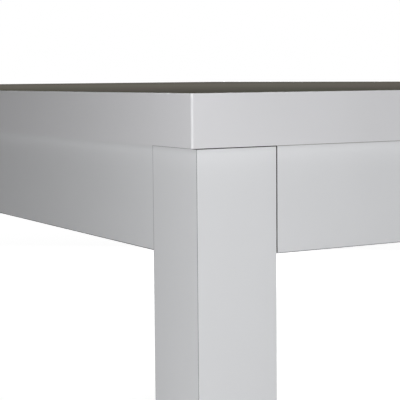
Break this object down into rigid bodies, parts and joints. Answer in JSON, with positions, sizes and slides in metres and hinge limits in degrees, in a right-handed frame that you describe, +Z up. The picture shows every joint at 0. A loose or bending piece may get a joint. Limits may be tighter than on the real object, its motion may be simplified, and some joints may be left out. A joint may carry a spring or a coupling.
{
  "type": "parsons dining table",
  "caption": "Rectangular parsons dining table: thick white-edged top with a dark laminate surface, on rails and square corner legs that unbolt, to sit at for meals.",
  "frame": {"origin": "on the floor under the middle of the table's top", "axes": "+X along the table's length, +Y across its width, +Z up; front is -Y and right is +X"},
  "size_m": [2, 1.2, 0.75],
  "materials": {
    "top_laminate": "matt dark grey-brown high-pressure laminate",
    "white_laminate": "satin white laminate",
    "edge_band": "satin white plastic edging",
    "board": "fibreboard, sawn edges",
    "batten_board": "white-faced chipboard",
    "backer": "white balancing laminate",
    "zinc_steel": "zinc-plated pressed steel",
    "fastener_steel": "bright zinc-plated",
    "nylon": "moulded grey nylon"
  },
  "bodies": {
    "root": {"top_sheet": "top_laminate", "main_board": "board", "balancing_sheet": "backer", "batten_front": "batten_board", "batten_back": "batten_board", "batten_left": "batten_board", "batten_right": "batten_board", "cross_batten_left": "batten_board", "cross_batten_centre": "batten_board", "cross_batten_right": "batten_board", "edge_band_front": "edge_band", "edge_band_back": "edge_band", "edge_band_left": "edge_band", "edge_band_right": "edge_band", "rail_front_core": "board", "rail_front_face_sheet": "white_laminate", "rail_front_bottom_strip": "white_laminate", "rail_back_core": "board", "rail_back_face_sheet": "white_laminate", "rail_back_bottom_strip": "white_laminate", "rail_left_core": "board", "rail_left_face_sheet": "white_laminate", "rail_left_bottom_strip": "white_laminate", "rail_right_core": "board", "rail_right_face_sheet": "white_laminate", "rail_right_bottom_strip": "white_laminate", "centre_cross_rail": "batten_board", "leg_front_left_core": "board", "leg_front_left_cover_sheets": "white_laminate", "leg_front_left_side_sheets": "white_laminate", "leg_front_right_core": "board", "leg_front_right_cover_sheets": "white_laminate", "leg_front_right_side_sheets": "white_laminate", "leg_back_left_core": "board", "leg_back_left_cover_sheets": "white_laminate", "leg_back_left_side_sheets": "white_laminate", "leg_back_right_core": "board", "leg_back_right_cover_sheets": "white_laminate", "leg_back_right_side_sheets": "white_laminate", "corner_bracket_front_left": "zinc_steel", "corner_bracket_front_right": "zinc_steel", "corner_bracket_back_left": "zinc_steel", "corner_bracket_back_right": "zinc_steel", "rail_angle_brackets": "zinc_steel", "cross_rail_angle_brackets": "zinc_steel", "hanger_bolts": "fastener_steel", "bolt_washers": "fastener_steel", "bolt_nuts": "fastener_steel", "corner_bracket_screws": "fastener_steel", "angle_bracket_screws": "fastener_steel", "batten_screws": "fastener_steel", "glide_screws": "fastener_steel", "glide_front_left": "nylon", "glide_front_right": "nylon", "glide_back_left": "nylon", "glide_back_right": "nylon"}
  },
  "joints": []
}
